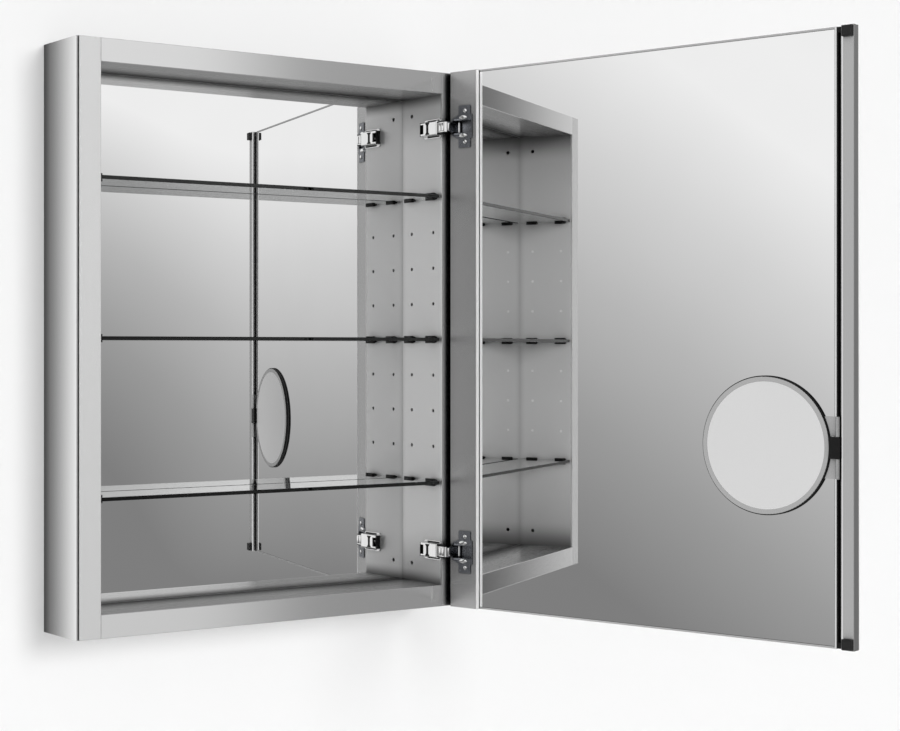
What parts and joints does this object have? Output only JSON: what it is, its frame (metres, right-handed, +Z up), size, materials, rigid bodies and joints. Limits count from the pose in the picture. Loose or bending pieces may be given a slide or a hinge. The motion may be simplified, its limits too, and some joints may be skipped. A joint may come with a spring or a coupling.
{
  "type": "medicine cabinet",
  "caption": "Wall-hung medicine cabinet with a mirrored swing door, mirrored back, glass shelves in black clips, and a round magnifying mirror on a sliding, folding mount.",
  "frame": {"origin": "middle of the back face, in the plane of the wall", "axes": "+X to the right seen from the front, +Y into the wall, +Z up"},
  "size_m": [0.7616, 0.6899, 0.762],
  "materials": {
    "satin_aluminium": "satin anodised",
    "mirror_glass": "silvered glass",
    "shelf_glass": "clear polished",
    "black_plastic": "fine matt",
    "black_rubber": "matt",
    "bright_metal": "bright nickel plate",
    "hinge_metal": "dark nickel plate",
    "core_sheet": "plain board"
  },
  "bodies": {
    "cabinet": {"left_side_cover": "satin_aluminium", "right_side_cover": "satin_aluminium", "top_panel": "satin_aluminium", "bottom_panel": "satin_aluminium", "back_panel": "satin_aluminium", "back_mirror": "mirror_glass", "left_inner_wall": "satin_aluminium", "right_inner_wall": "satin_aluminium", "inner_ceiling": "satin_aluminium", "inner_floor": "satin_aluminium", "left_stile": "satin_aluminium", "right_stile": "satin_aluminium", "top_rail": "satin_aluminium", "bottom_rail": "satin_aluminium", "upper_shelf": "shelf_glass", "middle_shelf": "shelf_glass", "lower_shelf": "shelf_glass", "left_shelf_clips": "black_plastic", "right_shelf_clips": "black_plastic", "upper_hinge_base": "bright_metal", "lower_hinge_base": "bright_metal", "hinge_base_screws": "bright_metal", "upper_hinge_arm": "hinge_metal", "lower_hinge_arm": "hinge_metal"},
    "door": {"front_mirror": "mirror_glass", "door_core": "core_sheet", "inner_mirror": "mirror_glass", "hinge_stile": "satin_aluminium", "free_stile": "satin_aluminium", "track_channel": "satin_aluminium", "door_top_rail": "satin_aluminium", "door_bottom_rail": "satin_aluminium", "track_liner": "black_plastic", "track_end_stops": "black_plastic", "door_bumpers": "black_rubber", "upper_hinge_cup": "hinge_metal", "lower_hinge_cup": "hinge_metal", "hinge_cup_screws": "bright_metal", "hinge_pins": "bright_metal"},
    "carriage": {"magnifier_slider": "black_plastic", "magnifier_knuckle": "black_plastic", "magnifier_pin": "bright_metal"},
    "magnifier": {"magnifier_leaf": "satin_aluminium", "magnifier_shell": "black_plastic", "magnifier_ring": "satin_aluminium", "magnifier_glass": "mirror_glass"}
  },
  "joints": [
    {"name": "door_swing", "type": "hinge", "parent": "cabinet", "child": "door", "pos_m": [0.2931, -0.1087, 0], "axis": [0, 0, 1], "range_deg": [-105, 5]},
    {"name": "magnifier_slide", "type": "slide", "parent": "door", "child": "carriage", "axis": [0, 0, 1], "range_m": [-0.155, 0.424]},
    {"name": "magnifier_swing", "type": "hinge", "parent": "carriage", "child": "magnifier", "pos_m": [0.43601, -0.66911, -0.1348], "axis": [0, 0, 1], "range_deg": [0, 176]}
  ]
}
